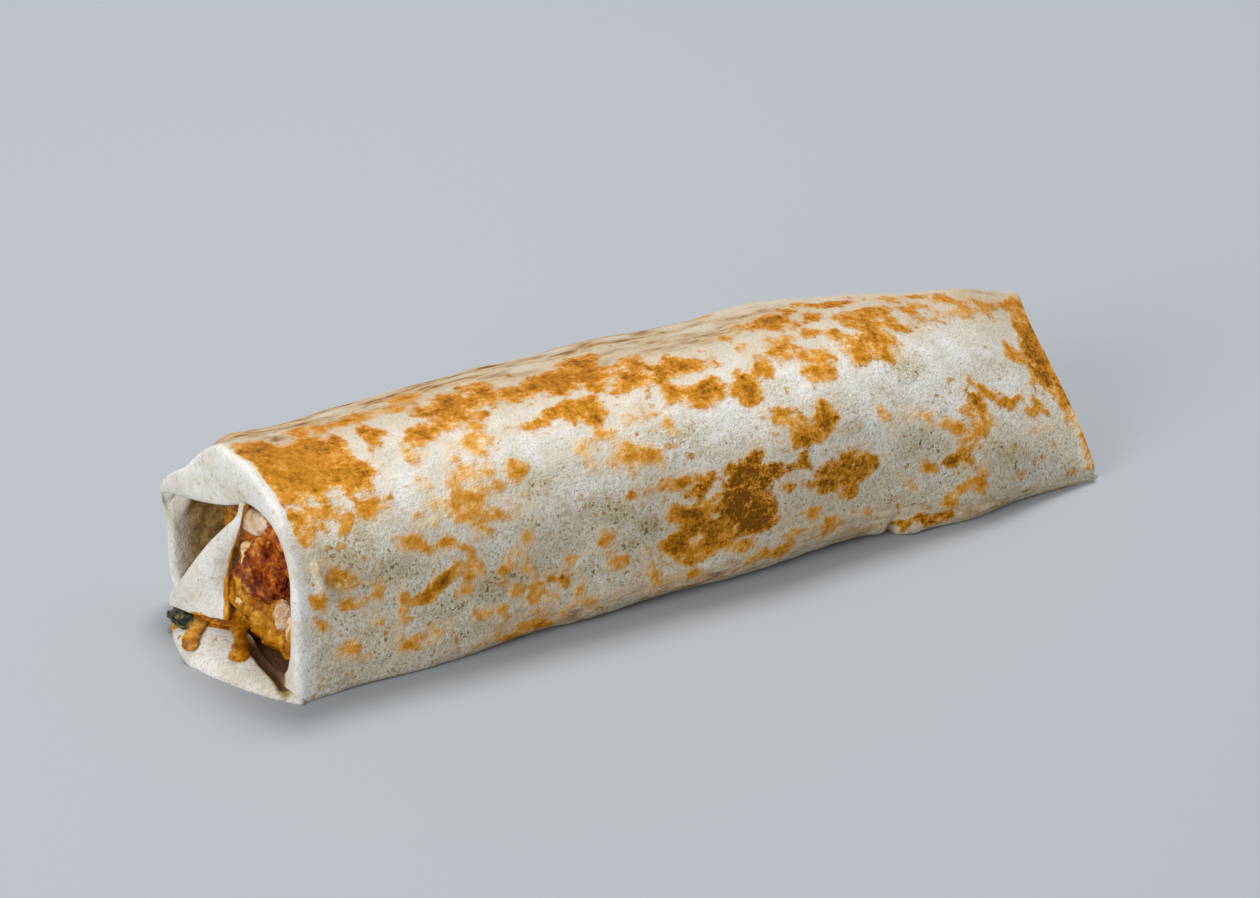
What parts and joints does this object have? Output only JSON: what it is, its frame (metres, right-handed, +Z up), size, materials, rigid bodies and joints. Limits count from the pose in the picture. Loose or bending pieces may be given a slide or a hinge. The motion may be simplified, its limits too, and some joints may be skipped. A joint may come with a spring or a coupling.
{
  "type": "chicken wrap",
  "caption": "Toasted flour-tortilla wrap lying on its side, one end tucked shut, the other folded half open on a saucy chicken filling.",
  "frame": {"origin": "on the surface the wrap lies on, under the middle of its bounding box", "axes": "+X along the roll from the open end to the shut end, +Y from its front to its back, +Z up"},
  "size_m": [0.2568, 0.0692, 0.0563],
  "materials": {
    "tortilla": "baked flour tortilla, off-white with browned patches",
    "filling": "chopped filling in orange sauce, wet",
    "leaf": "dark wilted salad leaf",
    "chicken_crisp": "fried chicken, red-brown and crisp",
    "chicken_pale": "pale cooked chicken, moist"
  },
  "bodies": {
    "root": {"tortilla": "tortilla", "filling": "filling", "leaf": "leaf", "chicken_strip": "chicken_crisp", "chicken_tip": "chicken_pale", "chicken_shred": "chicken_pale"}
  },
  "joints": []
}
